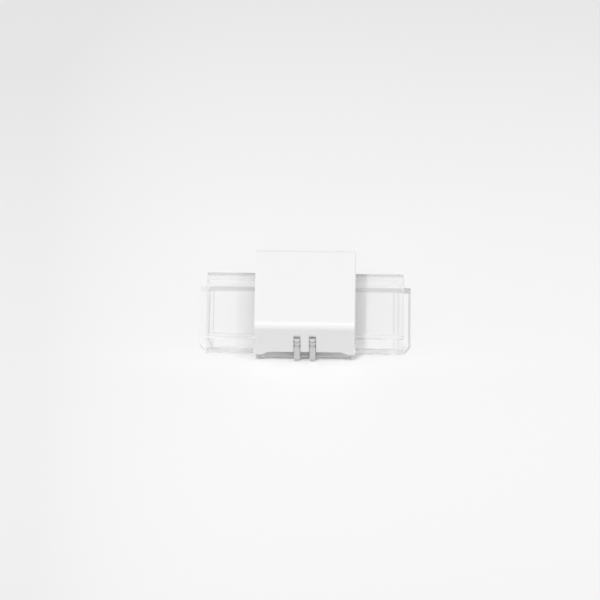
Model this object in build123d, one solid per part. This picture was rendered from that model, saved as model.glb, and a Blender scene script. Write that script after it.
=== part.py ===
from build123d import *
import os

# Solderless connector that joins two flat LED strips end to end.
# Millimetres. X runs along the strips, -Y is the front, +Z is up.
# The origin is at the middle of the underside.

# The strip that it takes
strip_width = 8.0
strip_side_play = 0.2
strip_thickness = 0.25
pad_offset = 2.0

# Clear housing
channel_height = 1.9
floor_thickness = 0.8
roof_thickness = 0.88
wall_thickness = 0.95
sleeve_length = 25.5
mouth_flare_length = 0.85
mouth_flare = 0.25
lip_reach = 0.9
lip_end_thickness = 0.5
lip_corner_x = 0.8
lip_corner_y = 1.2
window_length = 10.8
window_corner_radius = 0.4
stop_width = 0.8
stop_height = 0.7
foot_length = 11.8
foot_reach = 0.77
foot_thickness = 0.55
foot_corner_radius = 0.3

# Catches that hold the cap on the housing
catch_length = 2.0
catch_centre_x = 3.4
catch_reach = 0.25
catch_bottom_z = 2.85
catch_edge_height = 0.1
catch_ramp_height = 0.35

# White cap
cap_length = 13.0
cap_top_thickness = 1.2
cap_height = 7.6
cap_edge_radius = 0.8
cap_side_edge_radius = 0.25
skirt_thickness = 1.0
cap_side_thickness = 0.8
relief_top_length = 9.4
relief_bottom_length = 11.2
relief_height = 0.6
presser_inner_x = 1.5
presser_length = 3.4
presser_width = 1.9
web_thickness = 0.8

# Contacts, each bent and coined from one strip of metal
contact_thickness = 0.4
contact_recess = 0.05
bar_length = 10.0
bar_width = 1.4
leg_width = 0.8
leg_spacing = 2.0
leg_top_z = 4.8
leg_proud = 0.2
leg_bend_radius = 0.55
leg_corner_radius = 0.2
leg_tip_chamfer = 0.12
groove_count = 2
groove_first_drop = 0.38
groove_pitch = 0.9
groove_height = 0.48
groove_depth = 0.09
teeth_per_strip = 3
tooth_first_x = 2.2
tooth_pitch = 1.0
tooth_length = 0.8
tooth_thickness = 0.3
tooth_tip_length = 0.08
tooth_rise_over_floor = 0.55
tooth_stagger = 0.25

# Travel and clearances
cap_travel = 0.7
press_clearance = 0.1
cap_side_clearance = 0.1
slot_clearance = 0.04
slot_back_clearance = 0.1
catch_clearance = 0.05
catch_depth_clearance = 0.1
presser_clearance = 0.05
tooth_clearance = 0.15
contact_side_clearance = 0.05
tooth_window_margin_x = 0.25
tooth_window_margin_y = 0.15

# Sizes that follow from those above
channel_width = strip_width + 2 * strip_side_play
sleeve_depth = channel_width + 2 * wall_thickness
roof_z = floor_thickness + channel_height
sleeve_height = roof_z + roof_thickness
housing_length = sleeve_length + 2 * lip_reach
foot_depth = sleeve_depth + 2 * foot_reach
skirt_inner_y = sleeve_depth / 2 + cap_side_clearance
cap_depth = 2 * (skirt_inner_y + skirt_thickness)
skirt_bottom_z = foot_thickness + press_clearance + cap_travel
arch_z = sleeve_height + press_clearance + cap_travel
presser_bottom_z = floor_thickness + strip_thickness + presser_clearance + cap_travel
tooth_tip_z = floor_thickness + tooth_rise_over_floor
bar_top_z = contact_recess + contact_thickness
leg_front_y = cap_depth / 2 + leg_proud
leg_x = leg_spacing / 2
slot_width = leg_width + 2 * slot_clearance
slot_depth = contact_thickness - leg_proud + slot_back_clearance
slot_top_z = leg_top_z + press_clearance + cap_travel
tooth_last_x = tooth_first_x + (teeth_per_strip - 1) * tooth_pitch
tooth_band = 2 * tooth_stagger + tooth_thickness


def block(x, y, z):
    """A box from three (low, high) pairs."""
    sizes = [high - low for low, high in (x, y, z)]
    middle = [(low + high) / 2 for low, high in (x, y, z)]
    return Pos(*middle) * Box(*sizes)


def centred(length, middle=0.0):
    """The (low, high) pair of a length about a middle."""
    return (middle - length / 2, middle + length / 2)


def prism(points, plane, length):
    """A closed outline on a plane, extruded by the same length on both sides."""
    outline = plane * make_face(Polyline(*points, close=True))
    return extrude(outline, amount=length / 2, both=True)


def both_sides(solid):
    """A front solid with its copy at the back."""
    return solid + mirror(solid, about=Plane.XZ)


def both_ends(solid):
    """A right-hand solid with its copy at the left."""
    return solid + mirror(solid, about=Plane.YZ)


# The YZ plane's own X is the row's Y, and its own Y is the row's Z
ACROSS = Plane.YZ


def floor_plate():
    """The floor with its two lips, whose front corners are cut and whose ends slope down."""
    x = housing_length / 2
    y = sleeve_depth / 2
    right = [(x - lip_corner_x, -y), (x, lip_corner_y - y), (x, y)]
    left = [(-px, py) for px, py in reversed(right)]
    plate = extrude(Plane.XY * make_face(Polyline(*right, *left, close=True)), amount=floor_thickness)
    ramp_x = sleeve_length / 2 - mouth_flare_length
    slope = [(ramp_x, floor_thickness), (x, lip_end_thickness), (x, floor_thickness)]
    return plate - both_ends(prism(slope, Plane.XZ, sleeve_depth))


def foot_plate():
    """The wider plate under the cap, with rounded corners."""
    outline = RectangleRounded(foot_length, foot_depth, foot_corner_radius)
    return extrude(outline, amount=foot_thickness)


def sleeve():
    """The tube that the strips slide into, open over the middle for the cap."""
    outer = block(centred(sleeve_length), centred(sleeve_depth), (0, sleeve_height))
    channel = block(centred(housing_length), centred(channel_width), (floor_thickness, roof_z))
    mouth_origin = (sleeve_length / 2 - mouth_flare_length, 0, floor_thickness)
    mouth_start = Plane(mouth_origin, x_dir=(0, 1, 0), z_dir=(1, 0, 0))
    mouth_end = mouth_start.offset(mouth_flare_length)
    start_face = mouth_start * Pos(0, channel_height / 2) * Rectangle(channel_width, channel_height)
    end_width = channel_width + 2 * mouth_flare
    end_height = channel_height + mouth_flare
    end_face = mouth_end * Pos(0, end_height / 2) * Rectangle(end_width, end_height)
    mouth = loft([start_face, end_face])
    window = extrude(
        Pos(0, 0, roof_z) * RectangleRounded(window_length, channel_width, window_corner_radius),
        amount=roof_thickness,
    )
    stop = block(centred(stop_width), centred(channel_width), (floor_thickness, floor_thickness + stop_height))
    return outer - channel - both_ends(mouth) - window + stop


def catch():
    """The ridge at the front right that stops the cap from lifting off."""
    wall_y = -sleeve_depth / 2
    edge_z = catch_bottom_z + catch_edge_height
    profile = [
        (wall_y + wall_thickness / 2, catch_bottom_z),
        (wall_y - catch_reach, catch_bottom_z),
        (wall_y - catch_reach, edge_z),
        (wall_y, edge_z + catch_ramp_height),
        (wall_y + wall_thickness / 2, edge_z + catch_ramp_height),
    ]
    return Pos(catch_centre_x, 0, 0) * prism(profile, ACROSS, catch_length)


def contact_seats():
    """The grooves and windows that hold the front contact, to be cut from the housing."""
    play = contact_side_clearance
    seats = block(
        centred(bar_length + 2 * play),
        centred(bar_width + 2 * play, -pad_offset),
        (0, bar_top_z),
    )
    window_y = centred(tooth_band + 2 * tooth_window_margin_y, -pad_offset)
    window_x = (
        tooth_first_x - tooth_length / 2 - tooth_window_margin_x,
        tooth_last_x + tooth_length / 2 + tooth_window_margin_x,
    )
    seats += both_ends(block(window_x, window_y, (bar_top_z, floor_thickness)))
    arm_x = centred(leg_width + 2 * play, leg_x)
    seats += both_ends(block(arm_x, (-foot_depth / 2, -pad_offset), (0, bar_top_z)))
    notch_y = (-leg_front_y, -(leg_front_y - leg_bend_radius - play))
    seats += both_ends(block(arm_x, notch_y, (0, foot_thickness)))
    return seats


def base_housing():
    catches = both_sides(both_ends(catch()))
    return floor_plate() + foot_plate() + sleeve() + catches - both_sides(contact_seats())


def cap_shell():
    """The outside of the cap, hollowed, with its sides cut up to straddle the sleeve."""
    outer = block(centred(cap_length), centred(cap_depth), (skirt_bottom_z, cap_height))
    long_edges = outer.edges().filter_by(Axis.X).group_by(Axis.Z)[-1]
    outer = fillet(long_edges, cap_edge_radius)
    for face in (outer.faces().sort_by(Axis.X)[0], outer.faces().sort_by(Axis.X)[-1]):
        corner_edges = [edge for edge in face.edges() if edge.center().Z > skirt_bottom_z]
        outer = fillet(corner_edges, cap_side_edge_radius)
    ceiling_z = cap_height - cap_top_thickness
    inner_length = cap_length - 2 * cap_side_thickness
    hollow = block(centred(inner_length), centred(2 * skirt_inner_y), (skirt_bottom_z, ceiling_z))
    arch = block(centred(cap_length), centred(2 * skirt_inner_y), (skirt_bottom_z, arch_z))
    return outer - hollow - arch


def presser():
    """One of the four pads that push the strips down on the teeth."""
    ceiling_z = cap_height - cap_top_thickness
    pad_x = (presser_inner_x, presser_inner_x + presser_length)
    pad = block(pad_x, centred(presser_width, -pad_offset), (presser_bottom_z, ceiling_z))
    groove_width = tooth_band + 2 * tooth_window_margin_y
    groove_top_z = tooth_tip_z + cap_travel + tooth_clearance
    groove = block(pad_x, centred(groove_width, -pad_offset), (presser_bottom_z, groove_top_z))
    return pad - groove


def front_skirt_cuts():
    """What is cut from the front skirt: two slots, the relief below and the catch pockets."""
    skirt_y = (-cap_depth / 2, -skirt_inner_y)
    slot_y = (-cap_depth / 2, slot_depth - cap_depth / 2)
    slot = block(centred(slot_width, leg_x), slot_y, (skirt_bottom_z, slot_top_z))
    relief_top_z = skirt_bottom_z + relief_height
    relief_outline = [
        (-relief_bottom_length / 2, skirt_bottom_z),
        (relief_bottom_length / 2, skirt_bottom_z),
        (relief_top_length / 2, relief_top_z),
        (-relief_top_length / 2, relief_top_z),
    ]
    middle_y = (skirt_y[0] + skirt_y[1]) / 2
    relief = Pos(0, middle_y, 0) * prism(relief_outline, Plane.XZ, skirt_thickness)
    pocket_depth = catch_reach + catch_depth_clearance - cap_side_clearance
    pocket_top_z = catch_bottom_z + catch_edge_height + catch_ramp_height + cap_travel + catch_clearance
    pocket = block(
        centred(catch_length + 4 * catch_clearance, catch_centre_x),
        (-skirt_inner_y - pocket_depth, -skirt_inner_y),
        (catch_bottom_z - catch_clearance, pocket_top_z),
    )
    return both_ends(slot + pocket) + relief


def press_cap():
    ceiling_z = cap_height - cap_top_thickness
    web_x = presser_inner_x + presser_length / 2
    web = block(centred(web_thickness, web_x), centred(2 * skirt_inner_y), (arch_z, ceiling_z))
    inside = both_ends(web) + both_sides(both_ends(presser()))
    return cap_shell() + inside - both_sides(front_skirt_cuts())


def leg_profile():
    """The side view of an arm, its bend and its leg, extruded past the leg's width."""
    bend_y = -(leg_front_y - leg_bend_radius)
    bend_z = contact_recess + leg_bend_radius
    inner_radius = leg_bend_radius - contact_thickness
    back_y = -(leg_front_y - contact_thickness)
    line = Polyline(
        (bend_y, contact_recess),
        (-pad_offset, contact_recess),
        (-pad_offset, bar_top_z),
        (bend_y, bar_top_z),
    )
    line += RadiusArc((bend_y, bar_top_z), (back_y, bend_z), -inner_radius)
    line += Polyline(
        (back_y, bend_z),
        (back_y, leg_top_z),
        (-leg_front_y + leg_tip_chamfer, leg_top_z),
        (-leg_front_y, leg_top_z - leg_tip_chamfer),
        (-leg_front_y, bend_z),
    )
    line += RadiusArc((-leg_front_y, bend_z), (bend_y, contact_recess), leg_bend_radius)
    return extrude(ACROSS * make_face(line), amount=leg_width, both=True)


def leg_outline(shrink=0.0):
    """The plan of an arm with rounded front corners, as a tall solid."""
    length = leg_front_y - shrink - pad_offset
    plan = RectangleRounded(leg_width - 2 * shrink, length, leg_corner_radius - shrink)
    return extrude(Pos(0, -pad_offset - length / 2) * plan, amount=leg_top_z)


def leg():
    """A leg with rounded corners and coined grooves, and the arm that joins it to the bar."""
    solid = leg_profile() & leg_outline()
    for index in range(groove_count):
        groove_z = leg_top_z - groove_first_drop - index * groove_pitch
        ring_y = (-leg_front_y - leg_width, -(leg_front_y - contact_thickness))
        ring = block(centred(2 * leg_width), ring_y, centred(groove_height, groove_z))
        solid -= ring - leg_outline(groove_depth)
    return Pos(leg_x, 0, 0) * solid


def tooth(index):
    """A piercing tooth that stands on the bar."""
    tooth_x = tooth_first_x + index * tooth_pitch
    tooth_y = -pad_offset + (tooth_stagger if index % 2 else -tooth_stagger)
    outline = [
        (tooth_x - tooth_length / 2, contact_recess),
        (tooth_x + tooth_length / 2, contact_recess),
        (tooth_x + tooth_length / 2, bar_top_z),
        (tooth_x + tooth_tip_length / 2, tooth_tip_z),
        (tooth_x - tooth_tip_length / 2, tooth_tip_z),
        (tooth_x - tooth_length / 2, bar_top_z),
    ]
    return Pos(0, tooth_y, 0) * prism(outline, Plane.XZ, tooth_thickness)


def contact():
    """The front contact: a bar below the floor, its teeth and its two legs."""
    bar = block(centred(bar_length), centred(bar_width, -pad_offset), (contact_recess, bar_top_z))
    teeth = [tooth(index) for index in range(teeth_per_strip)]
    return bar + both_ends(leg()) + both_ends(teeth[0].fuse(*teeth[1:]))


front = contact()
nodes = {
    "base_housing": base_housing(),
    "press_cap": press_cap(),
    "contact_front": front,
    "contact_back": mirror(front, about=Plane.XZ),
}

os.makedirs("parts", exist_ok=True)
for name, solid in nodes.items():
    export_step(solid, f"parts/{name}.step")
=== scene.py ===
import math

import bpy
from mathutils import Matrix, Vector


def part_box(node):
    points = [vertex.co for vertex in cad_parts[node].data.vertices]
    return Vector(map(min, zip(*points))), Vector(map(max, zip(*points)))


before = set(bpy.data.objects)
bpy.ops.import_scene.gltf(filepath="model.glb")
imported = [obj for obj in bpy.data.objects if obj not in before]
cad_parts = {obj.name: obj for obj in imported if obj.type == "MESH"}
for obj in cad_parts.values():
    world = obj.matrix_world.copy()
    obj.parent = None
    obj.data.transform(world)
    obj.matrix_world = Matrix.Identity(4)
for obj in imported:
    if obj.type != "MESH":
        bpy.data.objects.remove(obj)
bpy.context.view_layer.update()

MM = 0.001

# How the photograph was taken, in its 600 x 600 frame
PICTURE_SIDE = 600
PIXELS_PER_MM = 7.7
CAMERA_ELEVATION = 54.0
CAMERA_TURN = 0.75
CAMERA_DISTANCE = 1000 * MM
CAMERA_CLIP = (10 * MM, 10.0)
SENSOR_WIDTH = 36.0
UNDERSIDE_PIXEL = (305.3, 321.7)

# Each noise's features to a millimetre, its detail and roughness, and the share of its features along Z
FLOW_WAVES = {"per_mm": 0.25}
FINE_HAZE = {"per_mm": 6.0, "detail": 3.0}
MOULDED_GRAIN = {"per_mm": 12.0, "detail": 3.0}
CLOUDS = {"per_mm": 0.4}
TIN_GRAIN = {"per_mm": 10.0, "detail": 4.0, "roughness": 0.6}
DRAWN_STREAKS = {"per_mm": 9.0, "upright": 0.08}

# How strongly each shows as relief, and its full height in metres
FLOW_RELIEF = (0.25, 0.02 * MM)
MOULDED_RELIEF = (0.3, 0.004 * MM)
TIN_RELIEF = (0.4, 0.004 * MM)

# Clear polycarbonate
CLEAR = (1.0, 1.0, 1.0)
CLEAR_IOR = 1.585
CLARITY = 0.94
CLEAR_ROUGHNESS = (0.015, 0.035)
HAZE_WHITE = (0.96, 0.96, 0.96)
OPEN_WAY = (0.99, 0.99, 0.99)

# White plastic
WHITE = (0.9, 0.9, 0.9)
CLOUD_SHADE = 0.985
WHITE_ROUGHNESS = (0.38, 0.5)
SCATTER_SHARE = 0.3
SCATTER_REACH = (1.0, 1.0, 1.0)
SCATTER_DEPTH = 0.3 * MM

# Tin plate, with how much its grain and its streaks darken and roughen it
TIN = (0.675, 0.675, 0.665)
BLACK = (0.0, 0.0, 0.0)
TIN_DARKENING = (0.08, 0.06)
TIN_ROUGHENING = (0.1, 0.08)
TIN_ROUGHNESS = 0.43

# The clear moulding's own sizes and places, in millimetres
FOOT_REACH = 0.77
LIP_LENGTH = 0.9
FLARE_LENGTH = 0.8
WALL = 0.95
ROOF_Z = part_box("base_housing")[1][2] / MM
BACK_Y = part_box("base_housing")[1][1] / MM - FOOT_REACH
LIP_END_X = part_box("base_housing")[1][0] / MM
SLEEVE_END_X = LIP_END_X - LIP_LENGTH
FLARE_X = SLEEVE_END_X - FLARE_LENGTH
WALL_Y = BACK_Y - WALL
PLATE_Z = 0.8
LIP_END_Z = 0.5
FOOT_Z = 0.55
LIP_CORNER_X = 0.8
LIP_CORNER_Y = 1.2

# Its painted shade along its edges, which stands in for the shade and refraction seen there,
# each with its reach from the edge in millimetres and its strength
PAINTED_SHADE_COLOUR = (0.4, 0.4, 0.4)
FADE = 0.05
ROOF_BACK = (0.5, 0.63)
ROOF_END = (0.15, 0.3)
ROOF_FRONT = (0.42, 0.2)
LEFT_LIP_BACK = (0.9, 0.2)
RIGHT_LIP_BACK = (0.9, 0.92)
RIGHT_LIP_END = (0.3, 0.7)
RIGHT_LIP_FRONT = (0.9, 0.28)
FRONT_FOOT = (0.05, 0.3)
FRONT_FOOT_HEIGHT = 0.42

# Its lines of painted shade, each with its middle, its width and its strength
LEFT_ROOF_LINE = (BACK_Y - 0.66, 0.16, 0.22)
LEFT_FLARE_LINE = (FLARE_X, 0.22, 0.65)
RIGHT_FLARE_LINE = (FLARE_X - 0.45, 0.4, 0.3)
WALL_FOOT_LINE = (WALL_Y - 0.1, 0.3, 0.77)
WALL_FOOT_HEIGHT = 0.65

# What else differs between its left and its right, and between its foot plate's front and top:
# the painted shade over the roof, stronger on the right, the painted light of the corners' see-through,
# stronger at the left, the key lamp's side, and the foot plate's haze
PAINTED_ROOF_SHADE = (0.05, 0.11)
CORNER_SHOW_THROUGH = (0.75, 0.4)
FOOT_HAZE = (0.22, 0.95)

# The legs' coined rings and cut top ends, in millimetres, and the strength of the painted shade
# in the rings' hollows and at the top ends under the cap's slots
LEG_TOP_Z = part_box("contact_front")[1][2] / MM
RING_MIDDLES = (LEG_TOP_Z - 0.38, LEG_TOP_Z - 1.28)
RING_HEIGHT = 0.48
PAINTED_RING_SHADE = 0.06
TIP_HEIGHT = 0.14
PAINTED_TIP_SHADE = 0.04

# The floor's side in metres, how far it lies under the part, its finish and its colour, and the painted
# fall-off of light on it, whose slope and curve are for each millimetre towards the back, with painted shade
# to the left
FLOOR_SIDE = 2.0
FLOOR_GAP = 0.02 * MM
PAPER_ROUGHNESS = 0.9
PAPER_GLOSS = 0.1
PAPER = 0.922
PAPER_SLOPE = -0.00061
PAPER_CURVE = -0.0000235
PAPER_LEFT_REACH = -34.0
PAPER_LEFT_LOSS = 0.06
PAPER_FALL = 3
PAPER_LIMITS = (0.8, 0.985)

# Its patches of painted light, with their strength, middle, half length and half width
PAINTED_FRONT_LIGHT = (0.035, -6.4, 20.0, 2.4)
PAINTED_BACK_LIGHT = (0.022, 13.0, 12.0, 6.0)

# The even sky's colour and light, and how bright it is where it is seen
SKY_COLOUR = (1.0, 1.0, 1.0)
SKY_LIGHT = 0.49
SKY_SEEN = 0.9

# Each lamp's azimuth and elevation in degrees, its distance and size in metres, and the share of its colour
# that it gives a level white surface
LAMPS = {
    "key_left": (-45.0, 75.8, 0.6, 0.012, 0.263),
    "fill_right": (75.0, 73.0, 0.6, 0.012, 0.087),
    "soft_front": (0.0, 38.0, 0.8, 0.6, 0.05),
    "soft_top": (0.0, 82.0, 0.8, 0.3, 0.13),
}

# How often light may turn back, in all and inside the clear walls
ALL_BOUNCES = 40
WALL_BOUNCES = 32


class Wire:
    """A node's output, on which Python's arithmetic adds Math nodes."""

    def __init__(self, shade, socket):
        self.shade = shade
        self.socket = socket

    def math(self, operation, *others):
        """A Math node of this value and others."""
        inputs = {0: self, **dict(enumerate(others, 1))}
        return self.shade.node("ShaderNodeMath", {"operation": operation}, inputs)

    def __add__(self, other):
        return self.math("ADD", other)

    def __sub__(self, other):
        return self.math("SUBTRACT", other)

    def __rsub__(self, other):
        return (self * -1.0) + other

    def __mul__(self, other):
        return self.math("MULTIPLY", other)

    def __truediv__(self, other):
        return self.math("DIVIDE", other)

    def __pow__(self, other):
        return self.math("POWER", other)

    __radd__ = __add__
    __rmul__ = __mul__

    def clamped(self, low=0.0, high=1.0):
        """The same value, held between two limits."""
        return self.math("MINIMUM", high).math("MAXIMUM", low)


class Shade:
    """The node tree of a new material, or of a world, which one method fills."""

    def __init__(self, name, owner=None):
        self.owner = owner or bpy.data.materials.new(name)
        self.owner.use_nodes = True
        self.tree = self.owner.node_tree
        self.tree.nodes.clear()

    def node(self, kind, settings=None, inputs=None, output=0):
        """Adds a node, sets it up, feeds its sockets with values or wires, and returns an output."""
        made = self.tree.nodes.new(kind)
        for name, value in (settings or {}).items():
            setattr(made, name, value)
        for name, value in (inputs or {}).items():
            if isinstance(value, Wire):
                self.tree.links.new(value.socket, made.inputs[name])
            else:
                made.inputs[name].default_value = value
        return Wire(self, made.outputs[output]) if len(made.outputs) else None

    def millimetres(self):
        """Object coordinates, as three wires in millimetres."""
        place = self.node("ShaderNodeTexCoord", output="Object")
        parts = self.node("ShaderNodeSeparateXYZ", inputs={"Vector": place}).socket.node
        return [Wire(self, part) / MM for part in parts.outputs]

    def noise(self, per_mm, detail=2.0, roughness=0.5, upright=1.0):
        """Noise from 0 to 1, with about so many features to a millimetre, and a share of them along Z."""
        x, y, z = self.millimetres()
        place = self.node("ShaderNodeCombineXYZ", inputs={"X": x, "Y": y, "Z": z * upright})
        inputs = {"Vector": place, "Scale": per_mm, "Detail": detail, "Roughness": roughness}
        return self.node("ShaderNodeTexNoise", inputs=inputs)

    def mix(self, factor, first, second):
        """A blend of two colours."""
        inputs = {"Factor": factor, "A": colour(first), "B": colour(second)}
        return self.node("ShaderNodeMix", {"data_type": "RGBA"}, inputs, output="Result")

    def bump(self, height, strength, distance):
        """A normal from a height between 0 and 1, with its full height in metres."""
        inputs = {"Strength": strength, "Distance": distance, "Height": height}
        return self.node("ShaderNodeBump", inputs=inputs)

    def finish(self, surface, output="ShaderNodeOutputMaterial"):
        """Feeds the output."""
        self.node(output, inputs={"Surface": surface})
        return self.owner


def colour(value):
    """A colour socket's four numbers."""
    return (*value, 1.0)


def shaded(value, share):
    """A colour at this share of its strength."""
    return tuple(part * share for part in value)


def between(factor, low, high):
    """Low where the factor is 0, and high where it is 1."""
    return factor * (high - low) + low


def band(value, start):
    """0 before start and 1 past it, with a short soft step."""
    return ((value - start) / FADE + 0.5).clamped()


def within(value, low, high):
    """1 between low and high."""
    return band(value, low) * (1.0 - band(value, high))


def edge(value, end, reach, strength):
    """This strength within this reach of an end."""
    return band(value, end - reach) * strength


def line(value, middle, width, strength):
    """This strength over a width about a middle."""
    return within(value, middle - width / 2, middle + width / 2) * strength


def painted_edge_shade(shade):
    """Painted shade on the clear moulding: thin lines along its edges, and a faint layer over its roof."""
    x, y, z = shade.millimetres()
    out_x = x.math("ABSOLUTE")
    front_y = y * -1.0
    right = band(x, 0.0)
    left = 1.0 - right
    sleeve = 1.0 - band(out_x, SLEEVE_END_X)
    roof = band(z, ROOF_Z - FADE)
    above_slope = band(z, LIP_END_Z - FADE)
    tray = above_slope * (1.0 - band(z, PLATE_Z + FADE)) * within(y, -WALL_Y, WALL_Y)
    lip = above_slope * (1.0 - sleeve)
    wall_foot = sleeve * within(z, LIP_END_Z, PLATE_Z + WALL_FOOT_HEIGHT)
    below = 1.0 - band(z, FRONT_FOOT_HEIGHT)
    # Painted shade: lines for the shade and refraction along the clear walls, more on the right lip, shaded
    # from the key lamp
    places = (
        roof * between(right, *PAINTED_ROOF_SHADE),
        roof * edge(y, BACK_Y, *ROOF_BACK),
        roof * edge(out_x, SLEEVE_END_X, *ROOF_END),
        roof * edge(front_y, BACK_Y, *ROOF_FRONT),
        roof * left * line(front_y, *LEFT_ROOF_LINE),
        tray * left * line(out_x, *LEFT_FLARE_LINE),
        tray * right * line(out_x, *RIGHT_FLARE_LINE),
        wall_foot * line(y, *WALL_FOOT_LINE),
        lip * left * edge(y, BACK_Y, *LEFT_LIP_BACK),
        lip * right * edge(y, BACK_Y, *RIGHT_LIP_BACK),
        lip * right * edge(out_x, LIP_END_X, *RIGHT_LIP_END),
        lip * right * edge(front_y, BACK_Y, *RIGHT_LIP_FRONT),
        below * edge(front_y, BACK_Y, *FRONT_FOOT),
    )
    painted_shade = places[0]
    for place in places[1:]:
        painted_shade = painted_shade.math("MAXIMUM", place)
    return painted_shade


def cut_corners(shade):
    """How much shows straight through the lips' slanted front corners: painted light, stronger at the left.
    """
    x, y, _ = shade.millimetres()
    # Painted light: seeing through lightens the corners, more at the left, where the key lamp stands
    out_x = (x.math("ABSOLUTE") - (LIP_END_X - LIP_CORNER_X)) / LIP_CORNER_X
    out_y = (y * -1.0 - (BACK_Y - LIP_CORNER_Y)) / LIP_CORNER_Y
    return band(out_x + out_y, 1.0 - FADE) * between(band(x, 0.0), *CORNER_SHOW_THROUGH)


def foot_haze(shade):
    """How hazy the foot plate is where it reaches past the sleeve, more on its top than at its front."""
    _, y, z = shade.millimetres()
    rim = band(y.math("ABSOLUTE"), BACK_Y + FADE) * (1.0 - band(z, FOOT_Z + FADE))
    return rim * between(band(z, FOOT_Z - FADE), *FOOT_HAZE)


def clear_polycarbonate():
    """Clear moulded plastic with faint flow waves and haze, painted shade along its edges and hazier at its
    foot.
    """
    shade = Shade("clear_polycarbonate")
    waves = shade.noise(**FLOW_WAVES)
    haze = shade.noise(**FINE_HAZE)
    glass = shade.node(
        "ShaderNodeBsdfPrincipled",
        inputs={
            # Painted shade mixed into the clear colour along the edges and over the roof
            "Base Color": shade.mix(painted_edge_shade(shade), CLEAR, PAINTED_SHADE_COLOUR),
            "Roughness": between(haze, *CLEAR_ROUGHNESS),
            "IOR": CLEAR_IOR,
            "Transmission Weight": CLARITY,
            "Normal": shade.bump(waves, *FLOW_RELIEF),
        },
    )
    milky = shade.node("ShaderNodeBsdfDiffuse", inputs={"Color": colour(HAZE_WHITE)})
    body = shade.node("ShaderNodeMixShader", inputs={0: foot_haze(shade), 1: glass, 2: milky})
    open_way = shade.node("ShaderNodeBsdfTransparent", inputs={"Color": colour(OPEN_WAY)})
    paths = [shade.node("ShaderNodeLightPath", output=path) for path in ("Is Shadow Ray", "Is Diffuse Ray")]
    let_through = paths[0].math("MAXIMUM", paths[1]).math("MAXIMUM", cut_corners(shade))
    return shade.finish(shade.node("ShaderNodeMixShader", inputs={0: let_through, 1: body, 2: open_way}))


def white_plastic():
    """Satin white plastic with a fine moulded grain."""
    shade = Shade("white_plastic")
    grain = shade.noise(**MOULDED_GRAIN)
    clouds = shade.noise(**CLOUDS)
    body = shade.node(
        "ShaderNodeBsdfPrincipled",
        inputs={
            "Base Color": shade.mix(clouds, WHITE, shaded(WHITE, CLOUD_SHADE)),
            "Roughness": between(grain, *WHITE_ROUGHNESS),
            "Subsurface Weight": SCATTER_SHARE,
            "Subsurface Radius": SCATTER_REACH,
            "Subsurface Scale": SCATTER_DEPTH,
            "Normal": shade.bump(grain, *MOULDED_RELIEF),
        },
    )
    return shade.finish(body)


def tin_plate():
    """Matt tin on a drawn strip, with painted shade in the coined rings and at the legs' cut top ends."""
    shade = Shade("tin_plate")
    _, _, z = shade.millimetres()
    grain = shade.noise(**TIN_GRAIN)
    streaks = shade.noise(**DRAWN_STREAKS)
    tone_and_painted_shade = grain * TIN_DARKENING[0] + streaks * TIN_DARKENING[1]
    # Painted shade at the legs' cut top ends, under the slots, and in the hollows of the coined rings
    tone_and_painted_shade += edge(z, LEG_TOP_Z, TIP_HEIGHT, PAINTED_TIP_SHADE)
    for middle in RING_MIDDLES:
        tone_and_painted_shade += line(z, middle, RING_HEIGHT, PAINTED_RING_SHADE)
    body = shade.node(
        "ShaderNodeBsdfPrincipled",
        inputs={
            "Base Color": shade.mix(tone_and_painted_shade, TIN, BLACK),
            "Metallic": 1.0,
            "Roughness": grain * TIN_ROUGHENING[0] + streaks * TIN_ROUGHENING[1] + TIN_ROUGHNESS,
            "Normal": shade.bump(grain + streaks, *TIN_RELIEF),
        },
    )
    return shade.finish(body)


def painted_light_patch(x, y, strength, middle_y, half_length, half_width):
    """A patch of painted light on the floor that fades out all round."""
    away_x = x / half_length
    away_y = (y - middle_y) / half_width
    return (0.0 - away_x * away_x - away_y * away_y).math("EXPONENT") * strength


def paper():
    """The pale floor, with painted fall-off of light to the back and left, and painted light before and
    behind the part.
    """
    shade = Shade("paper")
    x, y, _ = shade.millimetres()
    # Painted fall-off of light towards the back and the left
    painted_falloff_back = y * PAPER_SLOPE + y * y * PAPER_CURVE
    left = (x / PAPER_LEFT_REACH).clamped() ** PAPER_FALL * PAPER_LEFT_LOSS
    # Painted light before and behind the part, lifting the shade that the part casts there
    light = painted_light_patch(x, y, *PAINTED_FRONT_LIGHT) + painted_light_patch(x, y, *PAINTED_BACK_LIGHT)
    paper_and_painted_light = (PAPER + painted_falloff_back - left + light).clamped(*PAPER_LIMITS)
    body = shade.node(
        "ShaderNodeBsdfPrincipled",
        inputs={
            "Base Color": shade.node("ShaderNodeCombineXYZ", inputs={"X": paper_and_painted_light, "Y": paper_and_painted_light, "Z": paper_and_painted_light}),
            "Roughness": PAPER_ROUGHNESS,
            "Specular IOR Level": PAPER_GLOSS,
        },
    )
    return shade.finish(body)


def dress(node, material):
    """Gives a CAD node its material."""
    for slot in bpy.data.objects[node].material_slots:
        slot.material = material


def make_floor():
    """Lays the paper just under the part."""
    bpy.ops.object.select_all(action="DESELECT")
    bpy.ops.mesh.primitive_plane_add(size=FLOOR_SIDE)
    floor = bpy.context.object
    floor.name = "floor"
    bpy.ops.transform.translate(value=(0, 0, -FLOOR_GAP))
    bpy.ops.object.transform_apply(location=True, rotation=False, scale=False)
    floor.data.materials.append(paper())


def direction(azimuth, elevation):
    """The unit vector from the part towards a place round it, where azimuth 0 is its front."""
    a = math.radians(azimuth)
    e = math.radians(elevation)
    return Vector((math.sin(a) * math.cos(e), -math.cos(a) * math.cos(e), math.sin(e)))


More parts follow.
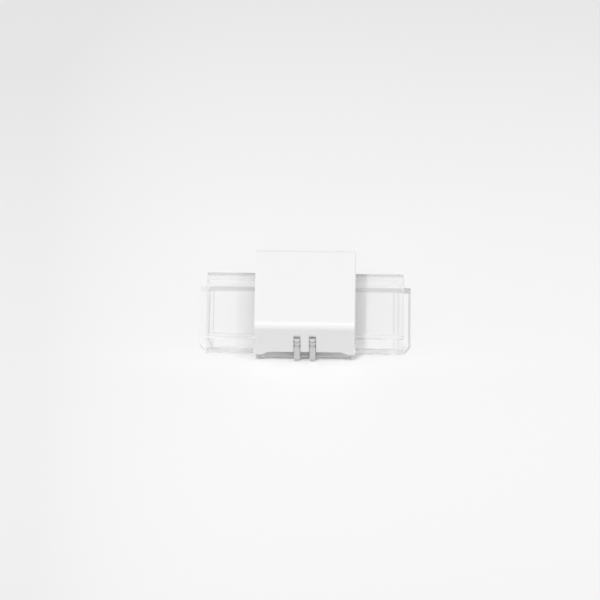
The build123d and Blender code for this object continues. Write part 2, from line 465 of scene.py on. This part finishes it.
def make_camera():
    """Looks at the part as the photograph does, with its underside's middle at the same pixel."""
    back = direction(CAMERA_TURN, CAMERA_ELEVATION)
    look = (-back).to_track_quat("-Z", "Y")
    right = look @ Vector((1, 0, 0))
    up = look @ Vector((0, 1, 0))
    half = PICTURE_SIDE / 2
    aim = right * (half - UNDERSIDE_PIXEL[0]) + up * (UNDERSIDE_PIXEL[1] - half)
    aim *= MM / PIXELS_PER_MM
    camera = bpy.data.objects.new("camera", bpy.data.cameras.new("camera"))
    bpy.context.collection.objects.link(camera)
    camera.data.sensor_width = SENSOR_WIDTH
    camera.data.lens = SENSOR_WIDTH * CAMERA_DISTANCE / (PICTURE_SIDE * MM / PIXELS_PER_MM)
    camera.data.clip_start, camera.data.clip_end = CAMERA_CLIP
    camera.rotation_mode = "QUATERNION"
    camera.rotation_quaternion = look
    camera.location = aim + back * CAMERA_DISTANCE
    bpy.context.scene.camera = camera


def make_lamp(name, azimuth, elevation, distance, size, share):
    """A square lamp that gives a level white surface this share of its colour."""
    back = direction(azimuth, elevation)
    lamp = bpy.data.objects.new(name, bpy.data.lights.new(name, "AREA"))
    bpy.context.collection.objects.link(lamp)
    lamp.data.shape = "SQUARE"
    lamp.data.size = size
    lamp.data.energy = share * (math.pi * distance) ** 2 / back.z
    lamp.rotation_mode = "QUATERNION"
    lamp.rotation_quaternion = (-back).to_track_quat("-Z", "Y")
    lamp.location = back * distance


def make_sky():
    """An even sky, which is white where it is seen, mirrored or seen through plastic."""
    shade = Shade("studio", bpy.data.worlds.new("studio"))
    bpy.context.scene.world = shade.owner
    paths = ("Is Camera Ray", "Is Glossy Ray", "Is Transmission Ray")
    seen = [shade.node("ShaderNodeLightPath", output=path) for path in paths]
    any_seen = seen[0].math("MAXIMUM", seen[1]).math("MAXIMUM", seen[2])
    strength = between(any_seen, SKY_LIGHT, SKY_SEEN)
    sky = shade.node("ShaderNodeBackground", inputs={"Color": colour(SKY_COLOUR), "Strength": strength})
    shade.finish(sky, "ShaderNodeOutputWorld")


def allow_clear_walls():
    """Lets rays run on inside the clear walls, where they turn back many times."""
    cycles = bpy.context.scene.cycles
    cycles.max_bounces = ALL_BOUNCES
    cycles.glossy_bounces = WALL_BOUNCES
    cycles.transmission_bounces = WALL_BOUNCES
    cycles.transparent_max_bounces = WALL_BOUNCES


bpy.context.scene.view_settings.view_transform = "Standard"
allow_clear_walls()
make_camera()
make_floor()
make_sky()
for lamp, settings in LAMPS.items():
    make_lamp(lamp, *settings)

tin = tin_plate()
dress("base_housing", clear_polycarbonate())
dress("press_cap", white_plastic())
dress("contact_front", tin)
dress("contact_back", tin)
